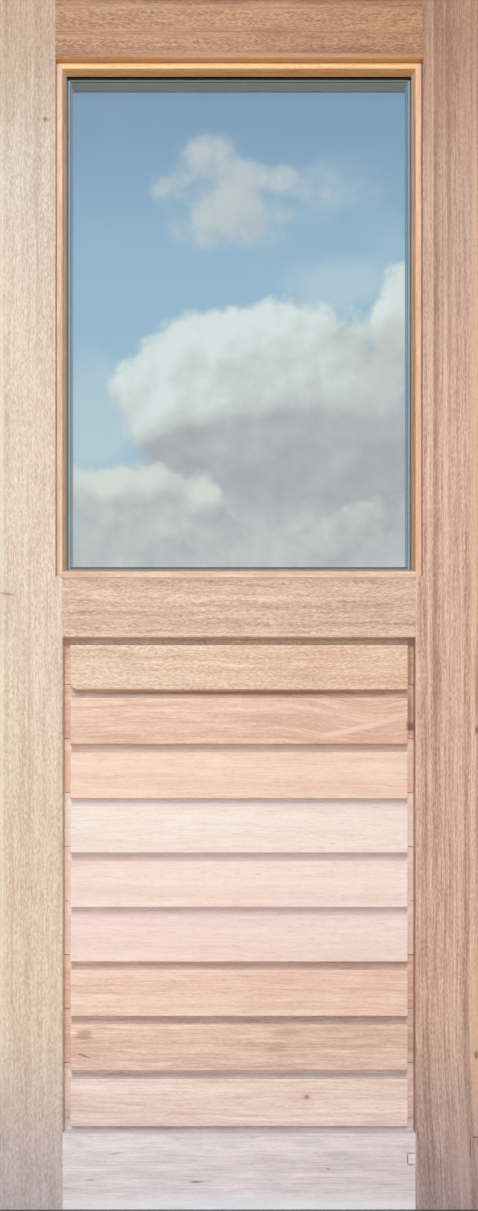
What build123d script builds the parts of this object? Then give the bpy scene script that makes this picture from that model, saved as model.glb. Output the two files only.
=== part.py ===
from build123d import *
import os

# A half-glazed timber door with a panel of lapped boards, hung in its own rebated timber frame.
# Millimetres. X runs across the door, Y from its front towards its back and Z up from the floor.
# Depths are measured back from the front face of the closed leaf, which is flush with the frame.

# Leaf
LEAF_WIDTH = 813.0
LEAF_HEIGHT = 2032.0
LEAF_THICKNESS = 54.0
STILE_WIDTH = 110.0
TOP_RAIL_HEIGHT = 110.0
MID_RAIL_HEIGHT = 110.0
BOTTOM_RAIL_HEIGHT = 128.0
MID_RAIL_RISE = 962.0  # from the leaf's foot to the middle rail's underside
ARRIS = 0.8  # rounding of the long edges

# Glazed light: a rebate open to the front, a sealed unit between tapes, and beads
LIP_LAP = 12.0  # width of the rebate beside and above the unit
FOOT_LAP = 8.0  # and below it
BEAD_SETBACK = 7.0
BEAD_DEPTH = 9.0
BEAD_FACE = 9.8
BEAD_BASE = 16.0
BEAD_FIT = 0.3
BEAD_ROUND = 1.0
TAPE_THICKNESS = 1.5
TAPE_WIDTH = 9.0
PANE_THICKNESS = 4.0
CAVITY = 16.0
UNIT_CLEARANCE = 3.5  # all round, taken up by the setting blocks at the foot
SPACER_SIGHT = 19.5  # from the unit's edge to the spacer bar's inner side
SPACER_HEIGHT = 8.0
SPACER_CORNER = 3.0
SPACER_FILM = 0.3  # of sealant between the bar and either pane
BLOCK_LENGTH = 100.0
BLOCK_INSET = 60.0
BRAD_THICKNESS = 1.6
BRAD_LENGTH = 25.0
BRAD_COVER = 9.5  # from the rebate's wall to the brad's stopped head
SIDE_BRADS = 3
CROSS_BRADS = 2

# Boarded panel
BOARD_COUNT = 9
BOARD_GAP = 13.9  # shoulder seen between one raised field and the next
TOP_SHOULDER = 11.3
BOTTOM_SHOULDER = 10.0
FIELD_SETBACK = 7.0
FIELD_THICKNESS = 12.0
FIELD_MARGIN = 11.2  # from the stile to the end of a raised field
FIELD_ROUND = 1.5
FIRST_BOARD_CORNER = 13.0
FIRST_BOARD_CUT = 2.8  # off the top of its field, to fit below the rail
LAST_BOARD_DROP = 2.4  # of its field, further down than the others
TONGUE_THICKNESS = 16.0
LAP = 12.0
LAP_RELIEF = 0.3
BOARD_PLAY = 1.0  # room for the boards to swell
GROOVE_DEPTH = 12.0
GROOVE_PLAY = 0.2
BOTTOM_RAIL_WEATHERING = 2.0  # rise of the bottom rail's sloping top edge
MID_RAIL_WEATHERING = 6.0  # fall of the middle rail's top edge, in front of the bead

# Blind mortise and tenon joints of the leaf
RAIL_TENON_THICKNESS = 18.0
RAIL_TENON_LENGTH = 65.0
RAIL_TENON_SHOULDER = 6.0  # beside a rebate or a groove
RAIL_TENON_HAUNCH = 22.0  # from the leaf's top or foot
RAIL_TENON_FIT = 0.1
RAIL_TENON_SPACE = 1.0  # glue room past the tenon's end

# Let-in patches at the foot of the right stile and the end of the bottom rail
PATCH_DEPTH = 5.0
PATCH_FIT = 0.15
STILE_PATCH_WIDTH = 14.0
STILE_PATCH_HEIGHT = 38.0
STILE_PATCH_RISE = 86.0
RAIL_PATCH_WIDTH = 12.0
RAIL_PATCH_HEIGHT = 15.0
RAIL_PATCH_RISE = 79.0

# Frame
HANG_GAP = 3.0  # beside and above the closed leaf
FLOOR_GAP = 6.0
JAMB_WIDTH = 45.0  # beside the leaf
FRAME_DEPTH = 94.0
STOP_WIDTH = 12.0
STOP_GAP = 1.0
TENON_WIDTH = 15.0
TENON_DEPTH = 60.0
TENON_FIT = 0.1
FIXING_COUNT = 4
FIXING_RISE = 200.0
FIXING_PITCH = 540.0
FIXING_RADIUS = 4.0

# Butt hinges on the left
HINGE_HEIGHT = 100.0
HINGE_REACH = 35.0  # of a plate, back from the front face
HINGE_PLATE = 2.5
HINGE_EDGE = 150.0  # from the leaf's top and foot to the nearer hinge's middle
BARREL_RADIUS = 5.5
BARREL_STANDOFF = 0.5
KNUCKLES = 5
KNUCKLE_GAP = 0.3
HINGE_PIN_RADIUS = 3.0
LEAF_PIN_FIT = 0.06
FRAME_PIN_FIT = 0.02
PIN_HEAD_RADIUS = 4.6
PIN_HEAD_HEIGHT = 2.0

# Places worked out from those sizes
AXIS_DEPTH = -(BARREL_RADIUS + BARREL_STANDOFF)
AXIS_X = -(LEAF_WIDTH + HANG_GAP) / 2
HINGE_PROUD = BARREL_RADIUS - AXIS_DEPTH
FRONT_Y = (HINGE_PROUD - FRAME_DEPTH) / 2  # puts the middle of the whole depth on Y = 0

LEAF_FOOT = FLOOR_GAP
LEAF_TOP = LEAF_FOOT + LEAF_HEIGHT
LEAF_EDGE = LEAF_WIDTH / 2
OPENING_EDGE = LEAF_EDGE - STILE_WIDTH
BOTTOM_RAIL_TOP = LEAF_FOOT + BOTTOM_RAIL_HEIGHT
MID_RAIL_FOOT = LEAF_FOOT + MID_RAIL_RISE

SIGHT_FOOT = MID_RAIL_FOOT + MID_RAIL_HEIGHT
SIGHT_TOP = LEAF_TOP - TOP_RAIL_HEIGHT
REBATE_EDGE = OPENING_EDGE + LIP_LAP
REBATE_FOOT = SIGHT_FOOT - FOOT_LAP
REBATE_TOP = SIGHT_TOP + LIP_LAP
BEAD_BACK = BEAD_SETBACK + BEAD_DEPTH
UNIT_FRONT = BEAD_BACK + TAPE_THICKNESS
CAVITY_FRONT = UNIT_FRONT + PANE_THICKNESS
CAVITY_BACK = CAVITY_FRONT + CAVITY
SPACER_DEPTHS = (CAVITY_FRONT + SPACER_FILM, CAVITY_BACK - SPACER_FILM)
SPACER_OUTER = SPACER_SIGHT - SPACER_HEIGHT
UNIT_BACK = CAVITY_BACK + PANE_THICKNESS
REBATE_DEPTH = UNIT_BACK + TAPE_THICKNESS
UNIT_EDGE = REBATE_EDGE - UNIT_CLEARANCE
UNIT_FOOT = REBATE_FOOT + UNIT_CLEARANCE
UNIT_TOP = REBATE_TOP - UNIT_CLEARANCE

PANEL_HEIGHT = MID_RAIL_FOOT - BOTTOM_RAIL_TOP
BOARDED = PANEL_HEIGHT - TOP_SHOULDER - BOTTOM_SHOULDER + FIRST_BOARD_CUT - LAST_BOARD_DROP
BOARD_PITCH = (BOARDED + BOARD_GAP) / BOARD_COUNT
FIELD_HEIGHT = BOARD_PITCH - BOARD_GAP
TONGUE_RISE = BOARD_GAP + LAP - BOARD_PLAY
TONGUE_FRONT = FIELD_SETBACK + FIELD_THICKNESS
TONGUE_BACK = TONGUE_FRONT + TONGUE_THICKNESS
FIELD_EDGE = OPENING_EDGE - FIELD_MARGIN
TONGUE_EDGE = OPENING_EDGE + GROOVE_DEPTH - BOARD_PLAY
GROOVE_FRONT = TONGUE_FRONT - GROOVE_PLAY
GROOVE_BACK = TONGUE_BACK + GROOVE_PLAY
GROOVE_TOP = MID_RAIL_FOOT - TOP_SHOULDER + TONGUE_RISE + BOARD_PLAY
RAIL_TONGUE_TOP = BOTTOM_RAIL_TOP + BOTTOM_SHOULDER + LAP - BOARD_PLAY

FRAME_INNER = LEAF_EDGE + HANG_GAP
FRAME_OUTER = FRAME_INNER + JAMB_WIDTH
STOP_EDGE = FRAME_INNER - STOP_WIDTH
STOP_FRONT = LEAF_THICKNESS + STOP_GAP
HEAD_FOOT = LEAF_TOP + HANG_GAP
HEAD_TOP = HEAD_FOOT + JAMB_WIDTH
STOP_FOOT = HEAD_FOOT - STOP_WIDTH
FIXING_DEPTH = (STOP_FRONT + FRAME_DEPTH) / 2

HINGE_HEIGHTS = {
    "upper": LEAF_TOP - HINGE_EDGE,
    "middle": (LEAF_TOP + LEAF_FOOT) / 2,
    "lower": LEAF_FOOT + HINGE_EDGE,
}


def block(across, depth, height):
    """A cuboid between pairs of limits."""
    sizes = [high - low for low, high in (across, depth, height)]
    middle = [(low + high) / 2 for low, high in (across, depth, height)]
    return Pos(middle[0], FRONT_Y + middle[1], middle[2]) * Box(*sizes)


def drawn_across(section, half):
    """A section of (depth, height) points, drawn out to the same distance each way across the door."""
    outline = Polyline([(-half, FRONT_Y + depth, height) for depth, height in section], close=True)
    return extrude(make_face(outline), amount=2 * half, dir=(1, 0, 0))


def drawn_up(section, foot, top):
    """A section of (across, depth) points, drawn up from foot to top."""
    outline = Polyline([(across, FRONT_Y + depth, foot) for across, depth in section], close=True)
    return extrude(make_face(outline), amount=top - foot, dir=(0, 0, 1))


def rod(start, direction, radius, length):
    """A round rod from a point of (across, depth, height)."""
    across, depth, height = start
    plane = Plane(origin=(across, FRONT_Y + depth, height), z_dir=direction)
    return plane * Cylinder(radius, length, align=(Align.CENTER, Align.CENTER, Align.MIN))


def eased(solid, along, radius, depths):
    """Rounds the edges that run along an axis and lie at one of the depths."""
    edges = [
        edge
        for edge in solid.edges().filter_by(along)
        if any(abs(edge.center().Y - FRONT_Y - depth) < radius / 4 for depth in depths)
    ]
    return fillet(edges, radius)


def save(name, shape):
    """Writes one piece, or one group of like pieces, to its own file."""
    shapes = shape if isinstance(shape, list) else [shape]
    solids = [solid for item in shapes for solid in item.solids()]
    whole = solids[0] if len(solids) == 1 else Compound(children=solids)
    whole.label = name
    export_step(whole, f"parts/{name}.step")


def rail_tenons(fit=0.0, space=0.0):
    """The tenons of each rail into both stiles, by rail, or their mortises where a fit is given."""
    rails = {
        "top": (REBATE_EDGE, REBATE_TOP + RAIL_TENON_SHOULDER, LEAF_TOP - RAIL_TENON_HAUNCH),
        "mid": (OPENING_EDGE, GROOVE_TOP + RAIL_TENON_SHOULDER, REBATE_FOOT - RAIL_TENON_SHOULDER),
        "bottom": (OPENING_EDGE, LEAF_FOOT + RAIL_TENON_HAUNCH, BOTTOM_RAIL_TOP - RAIL_TENON_SHOULDER),
    }
    half = RAIL_TENON_THICKNESS / 2 + fit
    return {
        name: block(
            (-(shoulder + RAIL_TENON_LENGTH + space), shoulder + RAIL_TENON_LENGTH + space),
            (LEAF_THICKNESS / 2 - half, LEAF_THICKNESS / 2 + half),
            (low - fit, high + fit),
        )
        for name, (shoulder, low, high) in rails.items()
    }


def brad(start, direction):
    """A square-cut brad from its head's (across, depth, height)."""
    across, depth, height = start
    plane = Plane(origin=(across, FRONT_Y + depth, height), z_dir=direction, x_dir=(0, 1, 0))
    align = (Align.CENTER, Align.CENTER, Align.MIN)
    return plane * Box(BRAD_THICKNESS, BRAD_THICKNESS, BRAD_LENGTH, align=align)


def bead_brads():
    """The brads of all four beads, driven outwards, their heads stopped under the beads' slope."""
    depth = BEAD_SETBACK + BEAD_DEPTH / 2
    pieces = []
    for number in range(SIDE_BRADS):
        height = REBATE_FOOT + (REBATE_TOP - REBATE_FOOT) * (number + 0.5) / SIDE_BRADS
        for side in (-1, 1):
            pieces.append(brad((side * (REBATE_EDGE - BRAD_COVER), depth, height), (side, 0, 0)))
    for number in range(CROSS_BRADS):
        across = REBATE_EDGE * (2 * (number + 0.5) / CROSS_BRADS - 1)
        pieces.append(brad((across, depth, REBATE_TOP - BRAD_COVER), (0, 0, 1)))
        pieces.append(brad((across, depth, REBATE_FOOT + BRAD_COVER), (0, 0, -1)))
    return pieces


def patch_limits(name, fit=0.0):
    """The limits of a let-in patch, or of its pocket where a fit is given."""
    if name == "stile":
        across = (LEAF_EDGE - STILE_PATCH_WIDTH - fit, LEAF_EDGE)
        low, high = STILE_PATCH_RISE, STILE_PATCH_RISE + STILE_PATCH_HEIGHT
    else:
        across = (OPENING_EDGE - RAIL_PATCH_WIDTH - fit, OPENING_EDGE)
        low, high = RAIL_PATCH_RISE, RAIL_PATCH_RISE + RAIL_PATCH_HEIGHT
    return across, (0, PATCH_DEPTH + fit), (LEAF_FOOT + low - fit, LEAF_FOOT + high + fit)


def stile(side):
    """A stile: rebated beside the glass and up to its top, grooved beside the boards."""
    inner, rebate, groove = OPENING_EDGE * side, REBATE_EDGE * side, (OPENING_EDGE + GROOVE_DEPTH) * side
    body = block(sorted((inner, LEAF_EDGE * side)), (0, LEAF_THICKNESS), (LEAF_FOOT, LEAF_TOP))
    body = eased(body, Axis.Z, ARRIS, (0, LEAF_THICKNESS))
    body -= block(sorted((inner, rebate)), (0, REBATE_DEPTH), (REBATE_FOOT, LEAF_TOP))
    body -= block(sorted((inner, groove)), (GROOVE_FRONT, GROOVE_BACK), (BOTTOM_RAIL_TOP, GROOVE_TOP))
    body -= list(rail_tenons(RAIL_TENON_FIT, RAIL_TENON_SPACE).values())
    body -= bead_brads()
    if side > 0:
        return body - block(*patch_limits("stile", PATCH_FIT))
    return body - [hinge_pocket(-LEAF_EDGE, 1, height) for height in HINGE_HEIGHTS.values()]


def top_rail():
    """The top rail: its front part covers the stiles' rebates, and its lip stands behind the glass."""
    front = block((-REBATE_EDGE, REBATE_EDGE), (0, REBATE_DEPTH), (REBATE_TOP, LEAF_TOP))
    lip = block((-OPENING_EDGE, OPENING_EDGE), (REBATE_DEPTH, LEAF_THICKNESS), (SIGHT_TOP, LEAF_TOP))
    body = eased(front + lip, Axis.X, ARRIS, (0, LEAF_THICKNESS))
    return body + rail_tenons()["top"] - bead_brads()


def mid_rail():
    """The middle rail: rebated above for the glass, weathered before the bead and grooved below."""
    section = (
        (0, MID_RAIL_FOOT),
        (GROOVE_FRONT, MID_RAIL_FOOT),
        (GROOVE_FRONT, GROOVE_TOP),
        (GROOVE_BACK, GROOVE_TOP),
        (GROOVE_BACK, MID_RAIL_FOOT),
        (LEAF_THICKNESS, MID_RAIL_FOOT),
        (LEAF_THICKNESS, SIGHT_FOOT),
        (REBATE_DEPTH, SIGHT_FOOT),
        (REBATE_DEPTH, REBATE_FOOT),
        (BEAD_SETBACK, REBATE_FOOT),
        (0, REBATE_FOOT - MID_RAIL_WEATHERING),
    )
    body = eased(drawn_across(section, OPENING_EDGE), Axis.X, ARRIS, (0, LEAF_THICKNESS))
    return body + rail_tenons()["mid"] - bead_brads()


def bottom_rail():
    """The bottom rail: a weathered top edge and a tongue that stands behind the last board."""
    section = (
        (0, LEAF_FOOT),
        (0, BOTTOM_RAIL_TOP),
        (TONGUE_FRONT, BOTTOM_RAIL_TOP + BOTTOM_RAIL_WEATHERING),
        (TONGUE_FRONT, RAIL_TONGUE_TOP),
        (TONGUE_BACK, RAIL_TONGUE_TOP),
        (TONGUE_BACK, BOTTOM_RAIL_TOP),
        (LEAF_THICKNESS, BOTTOM_RAIL_TOP),
        (LEAF_THICKNESS, LEAF_FOOT),
    )
    body = eased(drawn_across(section, OPENING_EDGE), Axis.X, ARRIS, (0, LEAF_THICKNESS))
    body += block(
        (-TONGUE_EDGE, TONGUE_EDGE),
        (TONGUE_FRONT, TONGUE_BACK),
        (BOTTOM_RAIL_TOP + BOARD_PLAY, RAIL_TONGUE_TOP),
    )
    return body + rail_tenons()["bottom"] - block(*patch_limits("rail", PATCH_FIT))


def board(number):
    """A lapped board, counted from the top: a tongued back and a raised field with a lip below it."""
    foot = MID_RAIL_FOOT - TOP_SHOULDER + FIRST_BOARD_CUT - number * BOARD_PITCH + BOARD_GAP
    top = foot + FIELD_HEIGHT
    if number == 1:
        top -= FIRST_BOARD_CUT
    if number == BOARD_COUNT:
        foot -= LAST_BOARD_DROP
    field = drawn_across(
        (
            (FIELD_SETBACK, foot),
            (FIELD_SETBACK, top),
            (TONGUE_FRONT, top),
            (TONGUE_FRONT, foot + LAP),
            (TONGUE_FRONT - LAP_RELIEF, foot + LAP),
            (TONGUE_FRONT - LAP_RELIEF, foot),
        ),
        FIELD_EDGE,
    )
    if number == 1:
        # The lower left corner is cut round.
        corner = field.edges().filter_by(Axis.Y).group_by(Axis.Z)[0].sort_by(Axis.X)[0]
        field = fillet(corner, FIRST_BOARD_CORNER)
    field = fillet(field.faces().sort_by(Axis.Y)[0].edges(), FIELD_ROUND)
    return field + block(
        (-TONGUE_EDGE, TONGUE_EDGE), (TONGUE_FRONT, TONGUE_BACK), (foot + LAP, top + TONGUE_RISE)
    )


def bead(length):
    """A mitred glazing bead in its own place: its wall side down on Z = 0, its middle on X = 0."""
    half = length / 2
    section = (
        (BEAD_SETBACK, BEAD_FIT),
        (BEAD_SETBACK, BEAD_FACE),
        (BEAD_BACK, BEAD_BASE),
        (BEAD_BACK, BEAD_FIT),
    )
    body = eased(drawn_across(section, half), Axis.X, BEAD_ROUND, (BEAD_SETBACK,))
    mitre = Polyline([(-half, 0, 0), (half, 0, 0), (half - BEAD_BASE, 0, BEAD_BASE),
                      (BEAD_BASE - half, 0, BEAD_BASE)], close=True)
    ends = extrude(make_face(mitre), amount=FRAME_DEPTH, dir=(0, 1, 0), both=True)
    return body & ends


def beads():
    """The four beads round the light, by name."""
    width, height = 2 * REBATE_EDGE, REBATE_TOP - REBATE_FOOT
    middle = (REBATE_TOP + REBATE_FOOT) / 2
    places = {
        "bead_bottom": Pos(0, 0, REBATE_FOOT) * bead(width),
        "bead_top": Pos(0, 0, REBATE_TOP) * Rot(0, 180, 0) * bead(width),
        "bead_left": Pos(-REBATE_EDGE, 0, middle) * Rot(0, 90, 0) * bead(height),
        "bead_right": Pos(REBATE_EDGE, 0, middle) * Rot(0, -90, 0) * bead(height),
    }
    return {name: piece - bead_brads() for name, piece in places.items()}


def ring(depths, outer_inset, inner_inset, corner=0.0):
    """A flat ring round the sealed unit, its sides measured in from the unit's edge."""
    def filled(inset, radius):
        limits = (inset - UNIT_EDGE, UNIT_EDGE - inset), depths, (UNIT_FOOT + inset, UNIT_TOP - inset)
        body = block(*limits)
        return fillet(body.edges().filter_by(Axis.Y), radius) if radius else body

    return filled(outer_inset, corner) - filled(inner_inset, corner)


def pane(front):
    """One pane of the sealed unit."""
    return block((-UNIT_EDGE, UNIT_EDGE), (front, front + PANE_THICKNESS), (UNIT_FOOT, UNIT_TOP))


def setting_blocks():
    """The two blocks that carry the sealed unit in the rebate."""
    return [
        block(
            sorted((side * (UNIT_EDGE - BLOCK_INSET - BLOCK_LENGTH), side * (UNIT_EDGE - BLOCK_INSET))),
            (UNIT_FRONT, UNIT_BACK),
            (REBATE_FOOT, UNIT_FOOT),
        )
        for side in (-1, 1)
    ]


def hinge_pocket(edge, into, height):
    """The pocket for one plate, cut into a timber edge that faces away from the way into it."""
    limits = sorted((edge, edge + into * HINGE_PLATE))
    return block(limits, (-ARRIS, HINGE_REACH), (height - HINGE_HEIGHT / 2, height + HINGE_HEIGHT / 2))


def hinge_plate(edge, into, middle, first, fit):
    """A plate and its rolled knuckles. first is 0 for the odd knuckles and 1 for the even ones."""
    low, high = middle - HINGE_HEIGHT / 2, middle + HINGE_HEIGHT / 2
    across = sorted((edge, edge + into * HINGE_PLATE))
    pitch = HINGE_HEIGHT / KNUCKLES
    plate = block(across, (AXIS_DEPTH + BARREL_RADIUS + BARREL_STANDOFF, HINGE_REACH), (low, high))
    for number in range(first, KNUCKLES, 2):
        foot = low + number * pitch + (KNUCKLE_GAP / 2 if number else 0)
        top = low + (number + 1) * pitch - (KNUCKLE_GAP / 2 if number < KNUCKLES - 1 else 0)
        plate += rod((AXIS_X, AXIS_DEPTH, foot), (0, 0, 1), BARREL_RADIUS, top - foot)
        plate += block(across, (AXIS_DEPTH, HINGE_REACH / 2), (foot, top))
    return plate - rod((AXIS_X, AXIS_DEPTH, low), (0, 0, 1), HINGE_PIN_RADIUS + fit, HINGE_HEIGHT)


def hinge_pin(middle):
    """A hinge pin with a flat button head above the barrel."""
    low, high = middle - HINGE_HEIGHT / 2, middle + HINGE_HEIGHT / 2
    shank = rod((AXIS_X, AXIS_DEPTH, low), (0, 0, 1), HINGE_PIN_RADIUS, HINGE_HEIGHT)
    return shank + rod((AXIS_X, AXIS_DEPTH, high), (0, 0, 1), PIN_HEAD_RADIUS, PIN_HEAD_HEIGHT)


def tenon(side, fit=0.0):
    """A jamb's tenon through the head, or its mortise where a fit is given."""
    middle = side * (FRAME_INNER + FRAME_OUTER) / 2
    half_width, half_depth = TENON_WIDTH / 2 + fit, TENON_DEPTH / 2 + fit
    return block(
        (middle - half_width, middle + half_width),
        (FRAME_DEPTH / 2 - half_depth, FRAME_DEPTH / 2 + half_depth),
        (HEAD_FOOT, HEAD_TOP),
    )


def fixing_holes(side):
    """The holes through a jamb's stop for the screws into a wall."""
    heights = [FIXING_RISE + number * FIXING_PITCH for number in range(FIXING_COUNT)]
    length = FRAME_OUTER - STOP_EDGE
    return [
        rod((side * STOP_EDGE, FIXING_DEPTH, height), (side, 0, 0), FIXING_RADIUS, length) for height in heights
    ]


def jamb(side):
    """A rebated jamb, tenoned up through the head."""
    section = (
        (side * FRAME_OUTER, 0),
        (side * FRAME_INNER, 0),
        (side * FRAME_INNER, STOP_FRONT),
        (side * STOP_EDGE, STOP_FRONT),
        (side * STOP_EDGE, FRAME_DEPTH),
        (side * FRAME_OUTER, FRAME_DEPTH),
    )
    body = eased(drawn_up(section, 0, HEAD_FOOT), Axis.Z, ARRIS, (0, FRAME_DEPTH))
    body += tenon(side)
    body -= fixing_holes(side)
    if side < 0:
        body -= [hinge_pocket(-FRAME_INNER, -1, height) for height in HINGE_HEIGHTS.values()]
    return body


def head():
    """The rebated head, across both jambs, with its stop fitted between theirs."""
    bar = block((-FRAME_OUTER, FRAME_OUTER), (0, FRAME_DEPTH), (HEAD_FOOT, HEAD_TOP))
    bar = eased(bar, Axis.X, ARRIS, (0, FRAME_DEPTH))
    bar += block((-STOP_EDGE, STOP_EDGE), (STOP_FRONT, FRAME_DEPTH), (STOP_FOOT, HEAD_FOOT + ARRIS))
    return bar - tenon(-1, TENON_FIT) - tenon(1, TENON_FIT)


os.makedirs("parts", exist_ok=True)

save("stile_left", stile(-1))
save("stile_right", stile(1))
save("top_rail", top_rail())
save("mid_rail", mid_rail())
save("bottom_rail", bottom_rail())
for count in range(1, BOARD_COUNT + 1):
    save(f"board_{count}", board(count))
save("patch_stile", block(*patch_limits("stile")))
save("patch_rail", block(*patch_limits("rail")))

for bead_name, bead_piece in beads().items():
    save(bead_name, bead_piece)
save("bead_brads", bead_brads())
save("glass_outer", pane(UNIT_FRONT))
save("glass_inner", pane(CAVITY_BACK))
save("spacer_bar", ring(SPACER_DEPTHS, SPACER_OUTER, SPACER_SIGHT, SPACER_CORNER))
save("unit_sealant", ring((CAVITY_FRONT, CAVITY_BACK), 0, SPACER_OUTER))
save("tape_outer", ring((BEAD_BACK, UNIT_FRONT), 0, TAPE_WIDTH))
save("tape_inner", ring((UNIT_BACK, REBATE_DEPTH), 0, UNIT_EDGE - OPENING_EDGE))
save("setting_blocks", setting_blocks())

save("jamb_left", jamb(-1))
save("jamb_right", jamb(1))
save("head", head())
for place, middle_height in HINGE_HEIGHTS.items():
    save(f"hinge_{place}_frame_plate", hinge_plate(-FRAME_INNER, -1, middle_height, 0, FRAME_PIN_FIT))
    save(f"hinge_{place}_leaf_plate", hinge_plate(-LEAF_EDGE, 1, middle_height, 1, LEAF_PIN_FIT))
    save(f"hinge_{place}_pin", hinge_pin(middle_height))
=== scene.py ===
import math

import bmesh
import bpy
from mathutils import Matrix, Vector


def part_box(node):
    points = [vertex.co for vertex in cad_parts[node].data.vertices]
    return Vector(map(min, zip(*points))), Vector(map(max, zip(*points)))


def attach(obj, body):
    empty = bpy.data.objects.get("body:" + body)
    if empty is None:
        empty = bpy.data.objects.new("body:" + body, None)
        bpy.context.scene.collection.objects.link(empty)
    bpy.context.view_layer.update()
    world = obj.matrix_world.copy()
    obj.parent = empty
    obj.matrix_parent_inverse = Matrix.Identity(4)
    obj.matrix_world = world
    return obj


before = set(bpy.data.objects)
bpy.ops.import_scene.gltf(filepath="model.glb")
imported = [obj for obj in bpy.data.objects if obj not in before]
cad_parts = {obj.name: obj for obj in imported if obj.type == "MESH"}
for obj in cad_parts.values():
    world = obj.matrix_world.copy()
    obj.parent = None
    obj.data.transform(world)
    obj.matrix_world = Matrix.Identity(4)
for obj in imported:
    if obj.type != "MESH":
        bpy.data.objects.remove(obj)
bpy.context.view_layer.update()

# A half-glazed timber door in its own frame. Metres, in the row frame: X across, Y from the front
# towards the back, Z up.

# The picture shows the leaf alone. The leaf's height gives the size of a pixel on its front face, and
# the leaf's top and middle give the picture's place.
PICTURE_HEIGHT = 1211
PICTURE_MIDDLE = 239.0  # the column of the leaf's middle
PICTURE_FOOT = 1209.7  # the row of the leaf's foot
LEAF_LOW, LEAF_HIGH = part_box("stile_left")
FRONT = LEAF_LOW.y
PIXEL = (LEAF_HIGH.z - LEAF_LOW.z) / PICTURE_FOOT
EYE_DISTANCE = 1.48  # from the leaf's front face
EYE_HEIGHT = 0.528
SENSOR = 36.0  # millimetres


def at_column(column):
    """The X, on the leaf's front face, of a column of the picture."""
    return (column - PICTURE_MIDDLE) * PIXEL


def at_row(row):
    """The Z, on the leaf's front face, of a row of the picture."""
    return LEAF_HIGH.z - row * PIXEL


def colour(red, green, blue):
    """A colour of the picture, as the linear values that shaders take."""
    values = [channel / 255 for channel in (red, green, blue)]
    linear = [v / 12.92 if v <= 0.04045 else ((v + 0.055) / 1.055) ** 2.4 for v in values]
    return (*linear, 1.0)


class Graph:
    """Builds a node tree: each method adds a node, and takes numbers, colours or other nodes' outputs."""

    def __init__(self, tree):
        self.tree = tree
        tree.nodes.clear()

    def node(self, kind, inputs=(), output=0, **settings):
        node = self.tree.nodes.new(kind)
        for name, value in settings.items():
            setattr(node, name, value)
        for name, value in dict(inputs).items():
            self.put(node.inputs[name], value)
        return node.outputs[output] if node.outputs else node

    def put(self, socket, value):
        if isinstance(value, bpy.types.NodeSocket):
            self.tree.links.new(value, socket)
        else:
            socket.default_value = value

    def math(self, operation, first, second=0.0, clamp=False):
        return self.node("ShaderNodeMath", {0: first, 1: second}, operation=operation, use_clamp=clamp)

    def plus(self, first, second, clamp=False):
        return self.math("ADD", first, second, clamp)

    def minus(self, first, second, clamp=False):
        return self.math("SUBTRACT", first, second, clamp)

    def times(self, first, second):
        return self.math("MULTIPLY", first, second)

    def size(self, value):
        """A value without its sign."""
        return self.math("ABSOLUTE", value)

    def apart(self, first, second):
        """How far two values are apart."""
        return self.size(self.minus(first, second))

    def centred(self, value, strength):
        """A value about one half, brought about zero and multiplied."""
        return self.times(self.minus(value, 0.5), strength)

    def step(self, value, low, high, first=0.0, last=1.0):
        """A smooth step of a value from first, at low, to last, at high."""
        inputs = {"Value": value, 1: low, 2: high, 3: first, 4: last}
        return self.node("ShaderNodeMapRange", inputs, interpolation_type="SMOOTHSTEP")

    def vector(self, operation, first, second=(0, 0, 0), output=0):
        return self.node("ShaderNodeVectorMath", {0: first, 1: second}, output, operation=operation)

    def join(self, x=0.0, y=0.0, z=0.0):
        return self.node("ShaderNodeCombineXYZ", {0: x, 1: y, 2: z})

    def split(self, vector):
        node = self.tree.nodes.new("ShaderNodeSeparateXYZ")
        self.put(node.inputs[0], vector)
        return node.outputs[0], node.outputs[1], node.outputs[2]

    def place(self):
        """The place in the piece's own axes, which for a CAD piece are the row frame's at rest."""
        return self.node("ShaderNodeTexCoord", output="Object")

    def noise(self, vector, detail=2.0, roughness=0.5, distortion=0.0):
        inputs = {"Vector": vector, "Scale": 1.0, "Detail": detail, "Roughness": roughness}
        return self.node("ShaderNodeTexNoise", {**inputs, "Distortion": distortion})

    def scaled_noise(self, place, scales, detail=2.0, roughness=0.5, distortion=0.0):
        """A noise that is finer the larger its scales along X, Y and Z are."""
        return self.noise(self.vector("MULTIPLY", place, scales), detail, roughness, distortion)

    def mix(self, share, first, second, blend="MIX"):
        node = self.tree.nodes.new("ShaderNodeMix")
        node.data_type = "RGBA"
        node.blend_type = blend
        self.put(node.inputs[0], share)
        self.put(node.inputs[6], first)
        self.put(node.inputs[7], second)
        return node.outputs[2]

    def bump(self, height, strength, distance):
        return self.node("ShaderNodeBump", {"Height": height, "Strength": strength, "Distance": distance})

    def principled(self, base, roughness, normal, more=()):
        """A plain surface, with any more inputs by their names."""
        inputs = {"Base Color": base, "Roughness": roughness, "Normal": normal, **dict(more)}
        return self.node("ShaderNodeBsdfPrincipled", inputs)

    def show(self, surface):
        """Makes a surface the material's output."""
        self.node("ShaderNodeOutputMaterial", {"Surface": surface})


def new_material(name):
    material = bpy.data.materials.new(name)
    material.use_nodes = True
    return material, Graph(material.node_tree)


def dress(node_name, material):
    """Gives a CAD node its material."""
    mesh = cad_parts[node_name].data
    mesh.materials.clear()
    mesh.materials.append(material)


# Timber. Each layer of the grain has its scale along it, its scale across it, the noise's detail and
# its roughness, where that isn't the usual one.
STREAKS = (3.3, 130.0, 3.0, 0.6)  # the first is for a member whose bands are a metre long
FIBRES = (16.0, 420.0, 2.0, 0.6)
HAIRS = (30.0, 1500.0, 1.0)
STROKES = (130.0, 560.0, 1.0)
PORES = (55.0, 900.0, 1.0)
BLOTCHES = (14.0, 60.0, 2.0)
GLINTS = (150.0, 470.0, 2.0, 0.6)
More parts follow.
